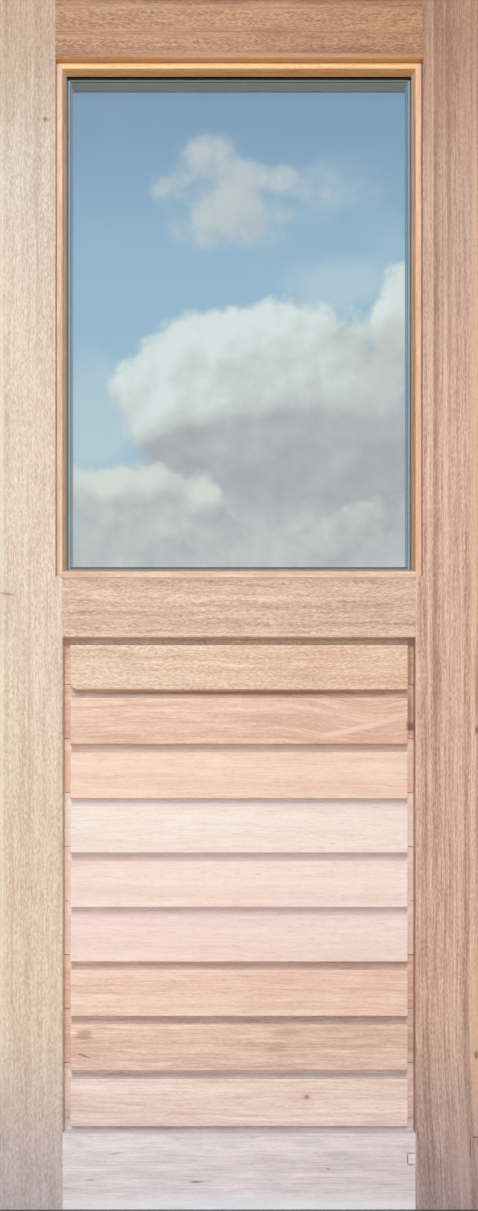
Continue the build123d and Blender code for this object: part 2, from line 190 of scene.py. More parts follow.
# The scales, along the grain and across it, of the noises that move the grain.
WANDER_SCALES = (1.3, 7.0)
FLOW_SCALES = (7.0, 28.0)
RIPPLE_SCALES = (105.0, 100.0)
SEED_SHIFT = 3.7  # metres along the grain from one whole seed to the next

BAND_SWAY, STREAK_SWAY, FIBRE_SWAY, HAIR_SWAY = 1.5, 1.3, 1.7, 0.6  # how far a layer moves the tone
PORE_COLOUR = (0.16, 0.08, 0.05, 1)
PORE_SHARE = 0.22
ROUGHNESS, ROUGHNESS_SWAY = 0.66, 0.25
STROKE_EDGE = (0.3, 0.7)  # of the noise's value, where a stroke starts and is full
PORE_EDGE = (0.62, 0.72)
GLINT_EDGE = (0.5, 0.64)
GLINT_SHADE_EDGE = (0.48, 0.36)  # the same for the dark between the glints

MARK_AND_SHADE_DEPTH = (0.021, 0.027)  # behind the leaf's front, where its marks, stains and painted shade fade out
UNDERSIDE_DEPTH = (0.016, 0.024)  # behind the leaf's front, where the painted light on faces that look down fades out
LOOKING_DOWN = (-0.3, -0.8)  # the upward part of a face's normal, where that painted light starts and is full
SHADOW_STRIP_EDGE = (1.3, 0.6)  # from a painted shadow strip's middle, in its half heights, where it ends and is full
MARK_EDGE = (1.1, 0.35)  # from a mark's middle, in its half sizes, where it ends and is full


def in_front(graph, depth, fade):
    """One in front of a fade's two depths behind the leaf's front, zero behind them."""
    start, end = fade
    return graph.step(depth, FRONT + end, FRONT + start)


def stretched(graph, along, across, depth, long_scale, cross_scale):
    """A place in the timber, scaled for a noise that runs along the grain."""
    return graph.join(graph.times(along, long_scale), graph.times(across, cross_scale),
                      graph.times(depth, cross_scale))


class Timber:
    """One bare timber member, with its light and dark tones and the axis that its grain runs along.

    streak, fibre, stroke and blotch say how strongly the layers of the grain show.
    ripple is how far the figure moves the grain: everywhere, or only in the ripple_bands.
    glint is how strongly the figure catches the light, and gleam is the colour of that.
    drift holds tints of painted light that come in from one place to another along the member.
    bends holds the places where the grain swells, each with its reach and its rise.
    band_width and band_length are those of the broad bands; wander and flow move all layers sideways.
    underside is painted light: the colour of the faces by the front that look down, for how they are lit.
    recess says from which depth to which, and how far from the middle, a tint of painted shade covers what
    lies back.
    dim_strip is the middle, half height and darkening of a painted shadow along a strip of that recess.
    marks are the knots, streaks and smudges over it all, with a few painted highlights and shadows, and seed
    makes a member's grain its own.
    """

    def __init__(self, light, dark, along="X", streak=0.8, fibre=0.5, stroke=0.25, ripple=0.0,
                 ripple_bands=(), glint=0.5, gleam=None, drift=(), marks=(), bends=(), seed=0.0,
                 band_width=0.03, band_length=1.1, wander=0.012, flow=0.003, blotch=0.3,
                 underside=None, recess=None, dim_strip=None):
        self.light, self.dark, self.along = light, dark, along
        self.streak, self.fibre, self.stroke = streak, fibre, stroke
        self.ripple, self.ripple_bands, self.glint, self.gleam = ripple, ripple_bands, glint, gleam or light
        self.drift, self.marks, self.bends, self.seed = drift, marks, bends, seed
        self.band_width, self.band_length, self.wander = band_width, band_length, wander
        self.flow, self.blotch = flow, blotch
        self.underside, self.recess, self.dim_strip = underside, recess, dim_strip

    def grain(self, graph):
        """The place in the timber as (along, across, depth), in metres."""
        x, y, z = graph.split(graph.place())
        return (x, z, y) if self.along == "X" else (z, x, y)

    def ripple_mask(self, graph, across, slow):
        """Where the figure shows: all over, or in soft bands along the grain."""
        if not self.ripple_bands:
            return 1.0
        total = 0.0
        for middle, half in self.ripple_bands:
            offset = graph.plus(graph.apart(across, middle), graph.centred(slow, half))
            total = graph.plus(total, graph.step(offset, half, half / 2))
        return total

    def moved(self, graph, along, across, depth):
        """The places along and across the grain as it wanders and ripples, and where it ripples."""
        shifted = graph.plus(along, self.seed * SEED_SHIFT)
        slow = graph.noise(stretched(graph, shifted, across, depth, *WANDER_SCALES), 1.0)
        bent = graph.plus(across, graph.centred(slow, self.wander))
        for middle, width, rise in self.bends:
            bent = graph.plus(bent, graph.step(graph.apart(along, middle), width, 0.0, 0.0, rise))
        current = graph.noise(stretched(graph, shifted, across, depth, *FLOW_SCALES), 2.0)
        bent = graph.plus(bent, graph.centred(current, self.flow))
        mask = 0.0
        if self.ripple:
            wave = graph.noise(graph.join(graph.times(shifted, RIPPLE_SCALES[0]),
                                          graph.times(across, RIPPLE_SCALES[1]), self.seed), 1.0)
            mask = self.ripple_mask(graph, across, slow)
            bent = graph.plus(bent, graph.times(graph.centred(wave, self.ripple), mask))
        return shifted, bent, mask

    def with_painted_light(self, graph, shade, along, across, depth, near):
        """The shade with painted light on the faces that look down, and painted shade in a recess."""
        if self.underside:
            facing = graph.split(graph.node("ShaderNodeNewGeometry", output="Normal"))[2]
            share = graph.times(graph.step(facing, *LOOKING_DOWN), in_front(graph, depth, UNDERSIDE_DEPTH))
            shade = graph.mix(share, shade, self.underside)
        if self.recess:
            (start, end), half_length, tint = self.recess
            share = graph.times(graph.step(depth, FRONT + start, FRONT + end), near)
            share = graph.times(share, graph.math("LESS_THAN", graph.size(along), half_length))
            shade = graph.mix(share, shade, tint, "MULTIPLY")
            if self.dim_strip:
                middle, half, shadow_dimming = self.dim_strip
                edge = (SHADOW_STRIP_EDGE[0] * half, SHADOW_STRIP_EDGE[1] * half)
                share = graph.times(share, graph.step(graph.apart(across, middle), *edge))
                shade = graph.mix(share, shade, (shadow_dimming, shadow_dimming, shadow_dimming, 1), "MULTIPLY")
        return shade

    def material(self, name):
        material, graph = new_material(name)
        along, across, depth = self.grain(graph)
        shifted, bent, mask = self.moved(graph, along, across, depth)

        def layer(long_scale, cross_scale, detail, roughness=0.55):
            place = stretched(graph, shifted, bent, depth, long_scale, cross_scale)
            return graph.noise(graph.vector("ADD", place, (0, self.seed, 0)), detail, roughness)

        band = layer(1 / self.band_length, 1 / self.band_width, 2.0)
        streak = layer(STREAKS[0] / self.band_length, *STREAKS[1:])
        fibre = layer(*FIBRES)
        hair = layer(*HAIRS)
        strokes = graph.step(layer(*STROKES), *STROKE_EDGE)
        pore = graph.step(layer(*PORES), *PORE_EDGE)

        tone = 0.5
        for value, strength in (
            (band, BAND_SWAY * self.streak), (streak, STREAK_SWAY * self.streak),
            (fibre, FIBRE_SWAY * self.fibre), (strokes, self.stroke), (layer(*BLOTCHES), self.blotch),
        ):
            tone = graph.plus(tone, graph.centred(value, strength))
        tone = graph.plus(tone, graph.centred(hair, HAIR_SWAY * self.fibre), clamp=True)
        shade = graph.mix(tone, self.dark, self.light)
        if self.ripple:
            glint = layer(*GLINTS)
            strength = graph.times(mask, self.glint)
            for edge, tint in ((GLINT_EDGE, self.gleam), (GLINT_SHADE_EDGE, self.dark)):
                shade = graph.mix(graph.times(graph.step(glint, *edge), strength), shade, tint)
        shade = graph.mix(graph.times(pore, PORE_SHARE), shade, PORE_COLOUR)
        for start, end, tint in self.drift:
            shade = graph.mix(graph.step(along, start, end), shade, tint, "MULTIPLY")
        near = in_front(graph, depth, MARK_AND_SHADE_DEPTH)
        shade = self.with_painted_light(graph, shade, along, across, depth, near)
        for mark in self.marks:
            shade = mark.over(graph, shade, self.along, along, across, fibre, near)

        height = graph.minus(graph.plus(graph.centred(fibre, 0.7), graph.centred(hair, 0.4)), pore)
        rough = graph.plus(ROUGHNESS, graph.centred(streak, ROUGHNESS_SWAY))
        bump = graph.bump(height, strength=0.35, distance=0.0004)
        graph.show(graph.principled(shade, rough, bump, {"Specular IOR Level": 0.25}))
        return material


class Mark:
    """A knot, streak, smudge, painted highlight or painted shadow on a face: an oval, or a block when
    square.

    Its place and half sizes are in the picture's pixels. tilt leans it, and ragged frays its edge.
    """

    def __init__(self, place, halves, tint, share=0.8, tilt=0.0, ragged=0.5, square=False):
        self.place, self.halves, self.tint = place, halves, tint
        self.share, self.tilt, self.ragged, self.square = share, tilt, ragged, square

    def over(self, graph, shade, direction, along, across, fibre, near):
        """The shade with the mark on it."""
        column, row = self.place
        wide, high = (half * PIXEL for half in self.halves)
        x, z = (along, across) if direction == "X" else (across, along)
        sideways, upwards = graph.minus(x, at_column(column)), graph.minus(z, at_row(row))
        upwards = graph.plus(upwards, graph.times(sideways, self.tilt))
        sideways, upwards = graph.math("DIVIDE", sideways, wide), graph.math("DIVIDE", upwards, high)
        if self.square:
            reach = graph.math("MAXIMUM", graph.size(sideways), graph.size(upwards))
        else:
            reach = graph.vector("LENGTH", graph.join(sideways, upwards), output="Value")
        reach = graph.plus(reach, graph.centred(fibre, self.ragged * 2))
        share = graph.times(graph.step(reach, *MARK_EDGE, 0.0, self.share), near)
        return graph.mix(share, shade, self.tint)


def dress_member(node_name, light, dark, *traits, **more):
    """Gives a timber member a material of its own."""
    dress(node_name, Timber(light, dark, *traits, **more).material(f"timber_{node_name}"))


LEFT_END, RIGHT_END = at_column(90), at_column(400)  # near the ends of the rails and boards


def falling(red, green, blue):
    """The fall of the light along a rail or a board, from its left end to its right end."""
    return ((LEFT_END, RIGHT_END, (red, green, blue, 1)),)


RIGHT_TONES = (colour(233, 198, 177), colour(168, 131, 112))
# Painted light on the right stile: darker towards the top and warmer at the very top, darker and bluer
# towards the foot.
RIGHT_LIGHT_DRIFT = (
    (at_row(500), at_row(200), (0.78, 0.78, 0.80, 1)),
    (at_row(220), at_row(10), (0.77, 0.68, 0.60, 1)),
    (at_row(970), at_row(1240), (0.56, 0.63, 0.80, 1)),
)
RIGHT_FOOT_BEND = (at_row(1240), 0.40, -0.016)
FOOT_TONES = (colour(245, 236, 237), colour(198, 188, 191))


def dress_stiles():
    # Painted light on the left stile: darker and cooler towards the top, warmer at the very top, a little
    # yellower from the middle down, and darker and bluer towards the foot.
    left_drift = (
        (at_row(440), at_row(60), (0.87, 0.95, 0.96, 1)),
        (at_row(190), at_row(10), (0.84, 0.71, 0.64, 1)),
        (at_row(500), at_row(950), (1.0, 0.985, 0.94, 1)),
        (at_row(990), at_row(1245), (0.62, 0.67, 0.87, 1)),
    )
    left_marks = (
        Mark((1.5, 600), (3.2, 640), colour(246, 234, 208), 0.5, ragged=0.3),
        Mark((47, 600), (1.0, 60), colour(196, 164, 140), 0.6, ragged=0.3),
        Mark((37, 240), (1.6, 150), colour(196, 172, 154), 0.5, ragged=0.6),
        Mark((29, 700), (1.8, 190), colour(204, 178, 156), 0.45, ragged=0.6),
        Mark((12, 900), (2.0, 160), colour(204, 180, 158), 0.45, ragged=0.6),
        Mark((46, 119.5), (4.6, 3.4), colour(160, 128, 112), 0.6),
        Mark((45, 119), (1.8, 1.5), colour(128, 98, 84), 0.6),
        Mark((7, 594), (9, 2.2), colour(176, 146, 122), 0.7, tilt=0.15),
    )
    dress_member(
        "stile_left", colour(246, 228, 212), colour(199, 174, 155), "Z", 0.6, 0.6, 0.25, seed=1.3,
        drift=left_drift, marks=left_marks, ripple=0.0022,
    )
    right_marks = (
        Mark((432.4, 240), (1.2, 420), colour(236, 206, 186), 0.38, ragged=0.9),
        Mark((444.2, 260), (1.1, 430), colour(228, 196, 178), 0.34, ragged=0.9),
        Mark((449.5, 220), (3.6, 330), colour(170, 132, 114), 0.4, ragged=0.6),
        Mark((437.5, 230), (2.4, 360), colour(180, 142, 124), 0.3, ragged=0.6),
        Mark((474.5, 420), (5.0, 420), colour(222, 184, 154), 0.5, ragged=0.5),
        Mark((479.0, 1020), (11.0, 120), colour(230, 190, 154), 0.5, ragged=0.7),
        Mark((463, 1168), (13, 50), colour(200, 170, 160), 0.4, ragged=0.7),
        Mark((470.4, 1148), (0.7, 13), colour(108, 82, 70), 0.7, ragged=0.3),
        Mark((476.5, 1055), (3, 5), colour(120, 96, 78), 0.7),
        Mark((476.5, 684), (2.5, 44), colour(150, 112, 88), 0.5),
        Mark((476.5, 730), (2, 6), colour(96, 72, 56), 0.7),
    )
    dress_member(
        "stile_right", *RIGHT_TONES, "Z", 0.95, 0.75, 0.42, seed=2.1, band_width=0.011, band_length=2.6,
        wander=0.012, flow=0.004, bends=(RIGHT_FOOT_BEND,), drift=RIGHT_LIGHT_DRIFT, marks=right_marks,
    )


def dress_rails():
    figured_bands = ((at_row(19), 0.022), (at_row(43), 0.017))
    top_marks = (
        Mark((240, 55), (190, 3.4), colour(206, 160, 136), 0.55, ragged=0.5),
        Mark((240, 31.5), (150, 0.8), colour(150, 108, 86), 0.5, ragged=0.8),
    )
    # Painted light: the top rail's faces by the front that look down are coloured a brighter orange.
    dress_member(
        "top_rail", colour(208, 168, 138), colour(143, 105, 82), "X", 0.6, 0.7, 0.35, ripple=0.007,
        ripple_bands=figured_bands, drift=falling(0.91, 0.85, 0.81), glint=0.52,
        gleam=colour(216, 178, 140), seed=3.4, band_width=0.02, underside=colour(222, 160, 108),
        marks=top_marks,
    )
    # A painted highlight along the mid rail's lower arris.
    painted_arris_highlight = Mark((240, 634.4), (176, 1.0), colour(240, 210, 186), 0.7, ragged=0.3)
    dress_member(
        "mid_rail", colour(246, 216, 198), colour(185, 149, 131), "X", 0.7, 0.9, 0.3, ripple=0.007,
        glint=0.4, seed=4.2, drift=falling(0.92, 0.91, 0.91), band_width=0.03, flow=0.010,
        marks=(painted_arris_highlight,),
    )
    foot_marks = (
        Mark((407.8, 1159), (1.0, 7.5), colour(116, 92, 86), 0.9, ragged=0.2),
        Mark((411, 1153.6), (5, 1.1), colour(140, 116, 108), 0.85, ragged=0.2),
        Mark((411, 1164.6), (5, 1.1), colour(140, 116, 108), 0.85, ragged=0.2),
        Mark((240, 1208), (230, 15), colour(232, 238, 250), 0.55, ragged=0.8),
        Mark((196, 1182), (9, 1.1), colour(120, 98, 88), 0.8),
        Mark((328, 1169), (3, 1.0), colour(128, 108, 100), 0.7),
        Mark((115, 1154), (8, 1.2), colour(176, 158, 156), 0.6, tilt=-0.1),
        Mark((90, 1180), (6, 1.2), colour(178, 162, 162), 0.6),
    )
    dress_member(
        "bottom_rail", *FOOT_TONES, "X", 0.5, 0.7, 0.15, seed=5.8, band_width=0.03, flow=0.010,
        blotch=0.8, marks=foot_marks, drift=falling(0.94, 0.93, 0.93),
    )


SHOULDER_DEPTH = (0.0150, 0.0185)  # behind the leaf's front, the shoulders round the boards' fields
SHOULDER_HALF = at_column(408.5)  # as far from the middle as the shoulders are seen
# Painted shade: a cooler, bluer tint on the shoulders, which lie in the shade of the fields.
SHOULDER_SHADE_TINT = (1.0, 1.10, 1.2, 1)
SHADOW_STRIP_ROW = 639.4  # the row of the painted shadow over the first board's field
SHADOW_STRIP_PITCH = 54.74  # rows from one board's painted shadow to the next
SHADOW_STRIP_HALF = 2.2 * PIXEL


def dress_boards():
    # The second colour darkens the right ends of the first two boards, below the mid rail.
    smudge, right_end_dark = colour(186, 140, 114), colour(172, 132, 114)
    board_marks = {
        1: (Mark((110, 688), (60, 2.2), colour(208, 168, 128), 0.5),
            Mark((411.5, 664), (3.6, 34), right_end_dark, 0.75, ragged=0.3)),
        # Board 2 starts with a painted shadow along the gap under the first board.
        2: (Mark((240, 690.4), (190, 2.6), colour(166, 124, 108), 0.75, ragged=0.2),
            Mark((300, 726), (34, 2.6), colour(214, 172, 150), 0.55, tilt=0.16, ragged=0.9),
            Mark((356, 728), (42, 3.4), colour(248, 222, 206), 0.6, tilt=-0.22, ragged=0.9),
            Mark((372, 737), (40, 3.0), colour(214, 168, 146), 0.55, tilt=-0.14, ragged=0.9),
            Mark((396, 708), (16, 5), colour(214, 170, 148), 0.5, tilt=-0.4, ragged=0.9),
            Mark((411.5, 708), (3.6, 26), right_end_dark, 0.75, ragged=0.3),
            Mark((412, 724.5), (6, 6.0), colour(140, 102, 90), 0.85, ragged=0.2, square=True)),
        8: (Mark((83, 1035), (10, 7), smudge, 0.65, ragged=0.9),
            Mark((84, 1057), (9, 1.3), colour(150, 110, 90), 0.75, tilt=0.35),
            Mark((285, 1034), (22, 5), smudge, 0.45, ragged=1.0),
            Mark((275, 1048), (16, 5), smudge, 0.35, ragged=1.0)),
        9: (Mark((307, 1098), (3.2, 2.6), colour(100, 72, 54), 0.95, ragged=0.3),
            Mark((307, 1098), (8, 4.2), colour(204, 168, 146), 0.6)),
    }
    flame = ((at_column(372), 0.16, 0.022),)
    # From the top: the two tones, the fall of the light and the darkening of the painted shadow over the
    # field.
    boards = (
        (colour(250, 228, 207), colour(209, 172, 149), falling(0.94, 0.89, 0.86), None),
        (colour(254, 223, 204), colour(215, 177, 156), falling(0.90, 0.83, 0.81), 0.72),
        (colour(253, 224, 207), colour(234, 196, 177), falling(0.95, 0.96, 0.95), 0.72),
        (colour(252, 241, 231), colour(241, 219, 208), falling(0.96, 0.93, 0.93), 0.84),
        (colour(251, 232, 220), colour(241, 210, 198), falling(0.97, 0.96, 0.98), 0.72),
        (colour(253, 230, 220), colour(239, 209, 200), falling(0.95, 0.97, 0.96), 0.74),
        (colour(255, 228, 210), colour(225, 185, 164), falling(0.89, 0.85, 0.84), 0.68),
        (colour(254, 224, 208), colour(209, 173, 155), falling(0.90, 0.90, 0.87), 0.64),
        (colour(253, 233, 222), colour(219, 192, 180), falling(0.95, 0.94, 0.93), 0.56),
    )
    for number, (light, dark, fall, shadow_dimming) in enumerate(boards, 1):
        shadow_middle = at_row(SHADOW_STRIP_ROW + SHADOW_STRIP_PITCH * (number - 1))
        dress_member(
            f"board_{number}", light, dark, "X", 0.8, 0.8, 0.5 if number == 1 else 0.25,
            seed=6.0 + 1.7 * number, band_width=0.028, ripple=0.005 if number == 1 else 0.0, glint=0.4,
            gleam=colour(252, 230, 200), marks=board_marks.get(number, ()), drift=fall,
            bends=flame if number == 2 else (), wander=0.02, flow=0.014, blotch=0.6,
            recess=(SHOULDER_DEPTH, SHOULDER_HALF, SHOULDER_SHADE_TINT),
            dim_strip=(shadow_middle, SHADOW_STRIP_HALF, shadow_dimming) if shadow_dimming else None,
        )


BEAD_SIDE_DEPTH = (0.0074, 0.0086)  # behind the leaf's front, the beads' sides by the glass, where their painted shade starts and is full
ALL_ALONG = 3.0  # further from the middle than any member reaches


def dress_beads():
    # Painted shade on the beads' sides by the glass, the last value of each row below: darkest and warmest
    # on the top bead's, which look down.
    bead_side_shade = (0.70, 0.71, 0.72, 1)
    beads = (
        ("bead_top", colour(255, 220, 168), colour(236, 180, 128), "X", (0.66, 0.52, 0.42, 1)),
        ("bead_bottom", colour(255, 232, 210), colour(218, 184, 158), "X", bead_side_shade),
        ("bead_left", colour(244, 212, 185), colour(212, 170, 142), "Z", bead_side_shade),
        ("bead_right", colour(246, 206, 176), colour(216, 168, 134), "Z", bead_side_shade),
    )
    for count, (name, light, dark, along, tint) in enumerate(beads):
        dress_member(
            name, light, dark, along, 0.9, 1.0, seed=24.0 + count, band_width=0.012,
            recess=(BEAD_SIDE_DEPTH, ALL_ALONG, tint),
        )


def dress_frame():
    for count, (name, along) in enumerate((("jamb_left", "Z"), ("jamb_right", "Z"), ("head", "X"))):
        dress_member(
            name, colour(232, 202, 180), colour(194, 156, 134), along, 0.8, 0.7,
            seed=31.0 + 2 * count, band_width=0.026,
        )


def dress_patches():
    edge = colour(118, 88, 74)
    joints = tuple(
        Mark((474, row), (9, 0.9), edge, share, ragged=0.3) for row, share in ((1137.2, 0.8), (1159.4, 0.6))
    )
    dress_member(
        "patch_stile", *RIGHT_TONES, "Z", 1.0, 0.7, 0.12, seed=41.0, band_width=0.01,
        drift=RIGHT_LIGHT_DRIFT, marks=joints,
    )
    dress_member("patch_rail", *FOOT_TONES, "X", 0.5, 0.7, seed=43.0, band_width=0.01)


# Glass and what holds it. The spacer bar's front is measured from its inner side.
BAR_WIDTH = 0.008  # the bar's, from its inner side to its outer side
SPACER_SHEEN = (0.0030, 0.0042)  # the strip of its front that catches the light
BUTYL_EDGE = 0.0008  # over which the butyl beside that strip thins out
BUTYL_SMEAR = 0.0006  # how far the butyl's edge strays
FLANK_START = (0.0001, 0.0004)  # where the bar's flank starts
MITRE_HALF = 0.0005  # half the width over which the bar's sides change into its top and foot
HOLES_PER_METRE = 250.0
HOLE_EDGE = (0.32, 0.46)
HOLE_ROW = (0.0012, 0.0006)  # from the middle of the inner side, where the row of holes ends and is full


def spacer_metal():
    """Mill-grey bar: perforated along its inner side, smeared with black butyl on its two flanks, with
    painted light that makes its upright sides lighter and bluer than its top and foot.
    """
    material, graph = new_material("spacer_aluminium")
    place = graph.place()
    brushed = graph.scaled_noise(place, (40, 900, 40))
    smeared = graph.scaled_noise(place, (60, 60, 60), 3.0, 0.6)
    x, y, z = graph.split(place)
    low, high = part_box("spacer_bar")
    half_width, half_height = (high.x - low.x) / 2 - BAR_WIDTH, (high.z - low.z) / 2 - BAR_WIDTH
    beside = graph.minus(graph.size(x), half_width)
    above = graph.minus(graph.apart(z, (low.z + high.z) / 2), half_height)
    inset = graph.math("MAXIMUM", beside, above)

    def perforated(value):
        return graph.apart(graph.math("FRACT", graph.times(value, HOLES_PER_METRE)), 0.5)

    row = graph.apart(y, (low.y + high.y) / 2)
    dots = graph.math("MAXIMUM", perforated(x), perforated(z))
    dots = graph.times(graph.step(dots, *HOLE_EDGE), graph.step(row, *HOLE_ROW))
    upright = graph.step(graph.minus(beside, above), -MITRE_HALF, MITRE_HALF)
    tone = graph.mix(graph.centred(brushed, 0.8), colour(178, 180, 170), colour(152, 154, 146))
    # Painted light: the bar's upright sides lighter and bluer than its top and foot.
    tone = graph.mix(upright, tone, colour(192, 210, 220))
    tone = graph.mix(graph.times(dots, 0.5), tone, colour(70, 72, 70))
    ragged = graph.plus(inset, graph.centred(smeared, BUTYL_SMEAR))
    sheen_start, sheen_end = SPACER_SHEEN
    bare = graph.times(graph.step(ragged, sheen_start - BUTYL_EDGE, sheen_start),
                       graph.step(ragged, sheen_end + BUTYL_EDGE, sheen_end))
    flank = graph.times(graph.step(inset, *FLANK_START), graph.minus(1.0, bare))
    # Painted light as well: the butyl on the upright sides is lighter than on the top and foot.
    butyl = graph.mix(upright, colour(74, 74, 68), colour(136, 142, 142))
    graph.show(graph.principled(
        graph.mix(flank, tone, butyl), graph.plus(0.42, graph.centred(brushed, 0.2)),
        graph.bump(brushed, strength=0.15, distance=0.0002), {"Metallic": 0.3},
    ))
    return material


def dress_glazing():
    material, graph = new_material("clear_glass")
    streak = graph.scaled_noise(graph.place(), (5, 5, 3), 1.0)
    ripple = graph.bump(streak, strength=0.02, distance=0.0002)
    pane = graph.principled((0.985, 0.995, 0.99, 1.0), 0.0, ripple, {"IOR": 1.5, "Transmission Weight": 1.0})
    clear = graph.node("ShaderNodeBsdfTransparent", {"Color": (0.93, 0.95, 0.94, 1.0)})
    shadow = graph.node("ShaderNodeLightPath", output="Is Shadow Ray")
    graph.show(graph.node("ShaderNodeMixShader", {0: shadow, 1: pane, 2: clear}))
    dress("glass_outer", material)
    dress("glass_inner", material)
    dress("spacer_bar", spacer_metal())

    for node_name, light, dark, rough in (
        ("unit_sealant", colour(146, 144, 134), colour(112, 110, 102), 0.6),
        ("tape_outer", colour(100, 100, 98), colour(74, 74, 72), 0.85),
        ("tape_inner", colour(72, 71, 68), colour(50, 49, 47), 0.85),
        ("setting_blocks", colour(70, 72, 76), colour(52, 53, 57), 0.5),
    ):
        material, graph = new_material(f"black_{node_name}")
        cells = graph.scaled_noise(graph.place(), (900, 900, 900))
        bump = graph.bump(cells, strength=0.3, distance=0.0002)
        graph.show(graph.principled(graph.mix(cells, dark, light), rough, bump))
        dress(node_name, material)


# Steel and the hinges' screws.
SCREWS_PER_PLATE = 4
SCREW_PITCH = 0.026
SCREW_STAGGER = 0.009
SCREW_HEAD = 0.0042  # its radius
SCREW_SINK = 0.0004  # how deep the head's rim goes into the plate
SCREW_DOME = 0.0005
DOME_SHOULDER = (0.8, 0.7)  # of the head's radius and of the dome's height
RECESS_ARM = 0.0026
RECESS_HALF = 0.0005
RECESS_DEPTH = 0.0014
RECESS_TAPER = 0.7
RIM_POINTS = 24
FIRST_TURN, NEXT_TURN = 0.3, 0.7  # radians, of the first screw's cross and from one screw to the next
STOP_WIDTH = 0.012  # how far the jamb's stop stands in from the jamb


def steel(name, along=(1, 1, 12)):
    """Satin steel: fine brushing, drawn out along an axis, faint stains, and darker in its pits."""
    material, graph = new_material(name)
    place = graph.place()
    brushing = graph.scaled_noise(place, tuple(2600.0 / a for a in along), 2.0, 0.6)
    stains = graph.scaled_noise(place, (60, 60, 60), 3.0, 0.6)
    tone = graph.mix(graph.step(stains, 0.35, 0.75), colour(196, 194, 188), colour(168, 163, 154))
    tone = graph.mix(graph.times(brushing, 0.35), tone, colour(132, 130, 126))
    rough = graph.plus(0.34, graph.centred(stains, 0.25))
    bump = graph.bump(brushing, strength=0.12, distance=0.0001)
    graph.show(graph.principled(tone, rough, bump, {"Metallic": 0.95}))
    return material


def screw_head(name, centre, outwards, turn, material, body):
    """A countersunk screw's head: a low dome with a cross recess, its middle on the plate's face."""
    mesh = bmesh.new()
    angles = [math.tau * k / RIM_POINTS for k in range(RIM_POINTS)]
    shoulder = (SCREW_HEAD * DOME_SHOULDER[0], SCREW_DOME * DOME_SHOULDER[1])
    rings = [
        [mesh.verts.new((radius * math.cos(angle), radius * math.sin(angle), height)) for angle in angles]
        for radius, height in ((SCREW_HEAD, -SCREW_SINK), (SCREW_HEAD, 0.0), shoulder)
    ]
    for lower, upper in zip(rings, rings[1:]):
        for k in range(RIM_POINTS):
            after = (k + 1) % RIM_POINTS
            mesh.faces.new((lower[k], lower[after], upper[after], upper[k]))
    arm, half, top = RECESS_ARM, RECESS_HALF, SCREW_DOME
    cross = [(arm, -half), (arm, half), (half, half), (half, arm), (-half, arm), (-half, half),
             (-arm, half), (-arm, -half), (-half, -half), (-half, -arm), (half, -arm), (half, -half)]
    taper = RECESS_TAPER
    rim = [mesh.verts.new((x, y, top)) for x, y in cross]
    base = [mesh.verts.new((x * taper, y * taper, top - RECESS_DEPTH)) for x, y in cross]
    for k in range(len(cross)):
        after = (k + 1) % len(cross)
        mesh.faces.new((rim[k], rim[after], base[after], base[k]))
    mesh.faces.new(base)
    edges = [e for v in rings[-1] + rim for e in v.link_edges if e.is_boundary]
    bmesh.ops.bridge_loops(mesh, edges=list(dict.fromkeys(edges)))
    bmesh.ops.recalc_face_normals(mesh, faces=mesh.faces)
    data = bpy.data.meshes.new(name)
    mesh.to_mesh(data)
    mesh.free()
    data.materials.append(material)
    piece = bpy.data.objects.new(name, data)
    bpy.context.scene.collection.objects.link(piece)
    turned = Vector((0, 0, 1)).rotation_difference(Vector(outwards)).to_matrix().to_4x4()
    piece.matrix_world = Matrix.Translation(centre) @ turned @ Matrix.Rotation(turn, 4, "Z")
    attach(piece, body)


def dress_hinges():
    even = (1, 1, 1)
    plate_steel, pin_steel = steel("plate_steel"), steel("pin_steel")
    screw_steel = steel("screw_steel", even)
    for place in ("upper", "middle", "lower"):
        dress(f"hinge_{place}_pin", pin_steel)
        for side, body, outwards in (("leaf", "door_leaf", -1), ("frame", "frame", 1)):
            node_name = f"hinge_{place}_{side}_plate"
            dress(node_name, plate_steel)
            low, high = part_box(node_name)
            face = LEAF_LOW.x if side == "leaf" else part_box("jamb_left")[1].x - STOP_WIDTH
            middle = (low.z + high.z) / 2
            plate_middle = (FRONT + high.y) / 2
            for number in range(SCREWS_PER_PLATE):
                rise = (number - (SCREWS_PER_PLATE - 1) / 2) * SCREW_PITCH
                stagger = SCREW_STAGGER / 2 * (-1) ** number
                centre = (face, plate_middle + stagger, middle + rise)
                screw_head(f"screw_{place}_{side}_{number + 1}", centre, (outwards, 0, 0),
                           NEXT_TURN * number + FIRST_TURN, screw_steel, body)
    dress("bead_brads", steel("brad_steel", even))


def toward(column, row):
    """The direction of a place in the picture: how far across and up it goes for each metre back."""
    return at_column(column) / EYE_DISTANCE, (at_row(row) - EYE_HEIGHT) / EYE_DISTANCE


# The sky that the glass shows. Its clouds are sums of soft ovals, each with its place and half sizes
# in the picture, and its strength.
SMALL_CLOUD = (
    ((208, 158), (32, 28), 0.8), ((236, 184), (36, 26), 0.7), ((280, 180), (22, 20), 0.6),
    ((206, 228), (40, 26), 0.75), ((258, 222), (38, 28), 0.85), ((226, 204), (40, 22), 0.7),
    ((168, 190), (22, 24), 0.45), ((194, 196), (24, 20), 0.35), ((256, 174), (22, 20), 0.4),
    ((320, 186), (34, 24), 0.35),
)
GREAT_CLOUD = (
    ((150, 392), (44, 56), 1.0), ((196, 362), (50, 62), 1.1), ((250, 358), (56, 56), 1.1),
    ((292, 346), (40, 62), 1.0), ((346, 362), (54, 62), 1.0), ((408, 316), (35, 66), 1.1),
    ((190, 436), (70, 48), 1.0), ((280, 476), (120, 90), 1.3), ((380, 470), (90, 86), 1.3),
)
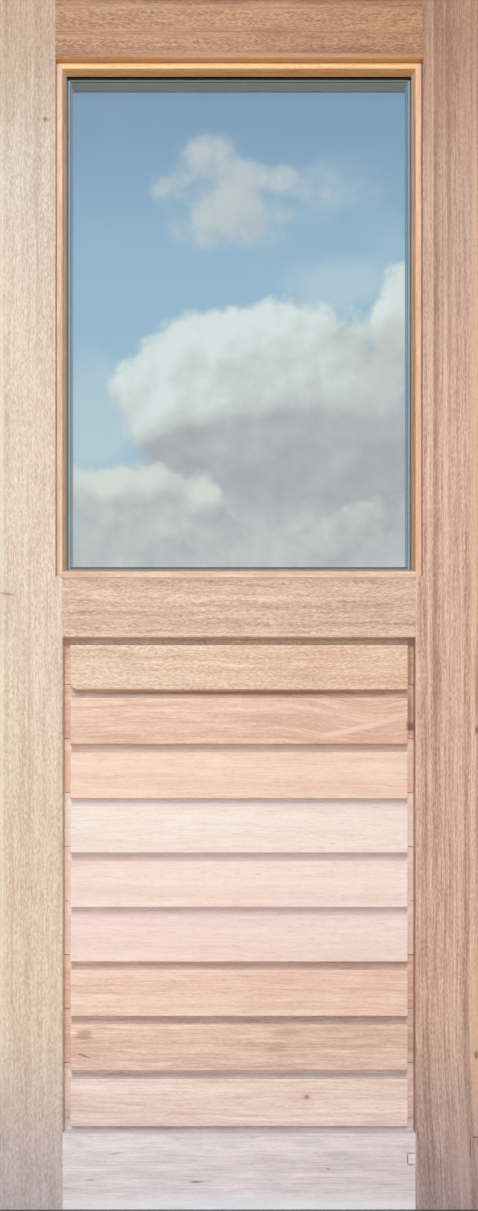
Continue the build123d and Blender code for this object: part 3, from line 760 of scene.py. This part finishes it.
LOW_CLOUD = (
    ((96, 500), (50, 46), 0.9), ((146, 500), (46, 46), 0.9), ((200, 506), (36, 44), 1.0),
    ((236, 556), (60, 46), 0.9), ((300, 566), (60, 48), 0.9), ((352, 548), (46, 50), 0.9),
    ((400, 544), (50, 56), 1.0), ((150, 575), (130, 60), 1.0), ((320, 600), (160, 60), 1.0),
)
HAZE = (
    ((334, 288), (62, 36), 1.0), ((96, 400), (50, 66), 0.8), ((92, 440), (40, 36), 0.9),
    ((190, 290), (60, 24), 0.25), ((384, 262), (40, 50), 0.5), ((320, 190), (80, 50), 0.5),
)
GREAT_BASE = (
    ((300, 486), (190, 60), 1.0), ((390, 460), (90, 70), 0.6), ((180, 462), (70, 36), 0.7),
    ((372, 400), (110, 90), 0.5), ((240, 446), (110, 50), 0.9), ((300, 430), (80, 40), 0.3),
    ((376, 340), (50, 50), 0.35),
)
LOW_LIGHT = (((108, 476), (60, 24), 0.9), ((206, 490), (30, 24), 0.8), ((160, 480), (30, 20), 0.5))
LOW_SHADE = (((285, 525), (110, 60), 0.8), ((380, 540), (70, 50), 0.4), ((130, 560), (90, 30), 0.3))
SKY_PIXEL = PIXEL / EYE_DISTANCE
OVAL_EDGE = (1.3, 0.2)  # from an oval's middle, in its half sizes, where it ends and is full
LIGHT_FROM = (-0.011, 0.016, 0.0)  # across the sky, towards the sun
BLUE_ROWS = (569, 300, 92)  # where the blue of the sky is palest, between and deepest
BLUE_LOW, BLUE_MIDDLE, BLUE_HIGH = (toward(PICTURE_MIDDLE, row)[1] for row in BLUE_ROWS)
LEAST_DISTANCE = 0.05  # what counts as the least way to the front or back, so that no slope is endless


def cloud_field(graph, place, blobs):
    """The sum of a cloud's soft ovals."""
    total = 0.0
    for (column, row), (wide, high), strength in blobs:
        offset = graph.vector("SUBTRACT", place, (*toward(column, row), 0))
        offset = graph.vector("MULTIPLY", offset, (1 / (wide * SKY_PIXEL), 1 / (high * SKY_PIXEL), 0))
        reach = graph.vector("LENGTH", offset, output="Value")
        total = graph.plus(total, graph.step(reach, *OVAL_EDGE, 0.0, strength))
    return total


def heaps(graph, place, scale, seed):
    """Rounded heaps of cumulus, about zero: high in the middle of each heap and low between heaps."""
    warp = graph.vector("SUBTRACT", graph.node("ShaderNodeTexNoise", {
        "Vector": place, "Scale": scale * 1.5, "Detail": 2.0,
    }, output=1), (0.5, 0.5, 0.5))
    warped = graph.vector("ADD", place, graph.vector("MULTIPLY", warp, (0.5 / scale, 0.5 / scale, 0)))
    cells = graph.node("ShaderNodeTexVoronoi", {
        "Vector": graph.vector("ADD", warped, (seed, seed * 0.7, 0)), "Scale": scale, "Detail": 3.0,
        "Roughness": 0.5, "Lacunarity": 2.2, "Smoothness": 0.7,
    }, voronoi_dimensions="2D", feature="SMOOTH_F1", normalize=True)
    return graph.minus(0.35, cells)


def cumulus(graph, place, blobs, scale, seed):
    """A cloud's density, and how much of it faces the light."""
    nearer_sun = graph.vector("ADD", place, LIGHT_FROM)
    here, lit = heaps(graph, place, scale, seed), heaps(graph, nearer_sun, scale, seed)
    body, body_lit = cloud_field(graph, place, blobs), cloud_field(graph, nearer_sun, blobs)
    share = graph.step(body, 0.0, 0.35)
    density = graph.plus(body, graph.times(graph.times(here, share), 1.7))
    relief = graph.plus(graph.times(graph.minus(here, lit), 0.9),
                        graph.times(graph.minus(body, body_lit), 0.3))
    return density, relief


def sky(graph):
    """The sky's colour and slope by direction, the same before the glass and behind it."""
    x, y, z = graph.split(graph.node("ShaderNodeTexCoord", output="Generated"))
    back = graph.math("MAXIMUM", graph.size(y), LEAST_DISTANCE)
    rise = graph.math("DIVIDE", z, back)
    place = graph.join(graph.math("DIVIDE", x, back), rise)
    blue = graph.mix(graph.step(rise, BLUE_HIGH, BLUE_MIDDLE), colour(130, 160, 188), colour(153, 186, 208))
    blue = graph.mix(graph.step(rise, BLUE_MIDDLE, BLUE_LOW), blue, colour(172, 200, 212))
    wisps = graph.scaled_noise(place, (11, 11, 11), 5.0, 0.62, 0.4)

    def frayed(value, strength):
        return graph.plus(value, graph.centred(wisps, strength))

    haze = graph.step(frayed(cloud_field(graph, place, HAZE), 1.2), 0.15, 1.0)
    picture = graph.mix(graph.times(haze, 0.6), blue, colour(190, 207, 212))

    small, relief = cumulus(graph, place, SMALL_CLOUD, 30.0, 4.3)
    share = graph.step(frayed(small, 0.8), 0.0, 1.1, 0.0, 0.8)
    tone = graph.mix(graph.plus(0.5, relief, clamp=True), colour(180, 189, 195), colour(202, 210, 208))
    picture = graph.mix(share, picture, tone)

    great, relief = cumulus(graph, place, GREAT_CLOUD, 17.0, 1.7)
    share = graph.step(frayed(great, 0.5), 0.30, 0.80)
    base = graph.step(frayed(cloud_field(graph, place, GREAT_BASE), 0.5), 0.05, 1.15)
    calm = graph.step(base, 0.0, 1.0, 1.0, 0.45)
    tone = graph.plus(graph.times(relief, calm), 0.70)
    tone = graph.minus(tone, graph.centred(wisps, 0.3))
    tone = graph.minus(tone, graph.times(base, 0.56), clamp=True)
    body = graph.mix(graph.step(tone, 0.0, 0.5), colour(168, 171, 178), colour(196, 202, 200))
    body = graph.mix(graph.step(tone, 0.4, 0.95), body, colour(215, 226, 225))
    picture = graph.mix(share, picture, body)

    lower, relief = cumulus(graph, place, LOW_CLOUD, 20.0, 8.1)
    share = graph.step(frayed(lower, 0.3), 0.35, 0.8, 0.0, 0.95)
    tone = graph.minus(graph.plus(0.42, relief), graph.centred(wisps, 1.0))
    tone = graph.plus(tone, graph.times(cloud_field(graph, place, LOW_LIGHT), 0.5))
    tone = graph.minus(tone, graph.times(cloud_field(graph, place, LOW_SHADE), 0.25), clamp=True)
    body = graph.mix(tone, colour(168, 172, 175), colour(212, 218, 213))
    return graph.mix(share, picture, body), rise


# The studio, its lamps, the floor and the camera.
BACKDROP = colour(226, 224, 220)
HORIZON = (0.02, 0.30)  # the slopes between which the sky takes over from the plain backdrop
STUDIO_LIGHT = (1.0, 0.985, 0.97, 1.0)
STUDIO_STRENGTH = 0.34
FLOOR_FADE = (2.5, 9.0)  # how far out the floor fades into the backdrop
LAMP_AIM = (0, 0, 1.0)
LAMPS = (  # name, place, size and watts
    ("key_light", (-0.8, -6.4, 4.8), (3.0, 2.0), 320.0),
    ("fill_light", (2.6, -5.0, 1.8), (2.5, 2.5), 36.0),
    ("back_light", (1.5, 4.5, 3.5), (2.5, 2.5), 90.0),
)


def make_world():
    """A plain backdrop for the camera, a soft light for the surfaces, and the sky in the glass."""
    world = bpy.data.worlds.new("studio")
    bpy.context.scene.world = world
    world.use_nodes = True
    graph = Graph(world.node_tree)
    rays = world.node_tree.nodes.new("ShaderNodeLightPath")
    glassy = graph.math("MAXIMUM", rays.outputs["Is Glossy Ray"], rays.outputs["Is Transmission Ray"])
    soft = graph.node("ShaderNodeBackground", {"Color": STUDIO_LIGHT, "Strength": STUDIO_STRENGTH})
    backdrop = graph.node("ShaderNodeBackground", {"Color": BACKDROP, "Strength": 1.0})
    heavens, slope = sky(graph)
    open_air = graph.mix(graph.step(slope, *HORIZON), BACKDROP, heavens)
    mirrored = graph.node("ShaderNodeBackground", {"Color": open_air, "Strength": 1.0})
    seen = graph.node("ShaderNodeMixShader", {0: rays.outputs["Is Camera Ray"], 1: soft, 2: backdrop})
    seen = graph.node("ShaderNodeMixShader", {0: glassy, 1: seen, 2: mirrored})
    graph.node("ShaderNodeOutputWorld", {"Surface": seen})


def make_lamp(name, place, size, watts):
    data = bpy.data.lights.new(name, "AREA")
    data.shape = "RECTANGLE"
    data.size, data.size_y = size
    data.energy = watts
    lamp = bpy.data.objects.new(name, data)
    bpy.context.scene.collection.objects.link(lamp)
    lamp.location = place
    lamp.rotation_euler = (Vector(LAMP_AIM) - Vector(place)).to_track_quat("-Z", "Y").to_euler()
    lamp.visible_glossy = False
    lamp.visible_camera = False
    lamp.visible_transmission = False


def make_floor():
    material, graph = new_material("pale_floor")
    place = graph.place()
    mottle = graph.scaled_noise(place, (3, 3, 3), 3.0)
    surface = graph.node("ShaderNodeBsdfPrincipled", {
        "Base Color": graph.mix(mottle, colour(226, 224, 220), colour(233, 231, 227)), "Roughness": 0.8,
        "Specular IOR Level": 0.1,
    })
    far = graph.step(graph.vector("LENGTH", place, output="Value"), *FLOOR_FADE)
    nothing = graph.node("ShaderNodeBsdfTransparent", {"Color": (1, 1, 1, 1)})
    graph.show(graph.node("ShaderNodeMixShader", {0: far, 1: surface, 2: nothing}))
    data = bpy.data.meshes.new("floor")
    half = FLOOR_FADE[1]
    corners = [(-half, -half, 0), (half, -half, 0), (half, half, 0), (-half, half, 0)]
    data.from_pydata(corners, [], [(0, 1, 2, 3)])
    data.materials.append(material)
    floor = bpy.data.objects.new("floor", data)
    bpy.context.scene.collection.objects.link(floor)


def make_camera():
    data = bpy.data.cameras.new("camera")
    data.sensor_fit = "VERTICAL"
    data.sensor_height = SENSOR
    shown = PICTURE_HEIGHT * PIXEL
    data.lens = SENSOR * EYE_DISTANCE / shown
    data.shift_y = (LEAF_HIGH.z - shown / 2 - EYE_HEIGHT) / shown
    camera = bpy.data.objects.new("camera", data)
    bpy.context.scene.collection.objects.link(camera)
    camera.location = (0, FRONT - EYE_DISTANCE, EYE_HEIGHT)
    camera.rotation_euler = (math.pi / 2, 0, 0)
    bpy.context.scene.camera = camera


dress_stiles()
dress_rails()
dress_boards()
dress_beads()
dress_frame()
dress_patches()
dress_glazing()
dress_hinges()
make_world()
for lamp in LAMPS:
    make_lamp(*lamp)
make_floor()
make_camera()
bpy.context.scene.view_settings.view_transform = "Standard"
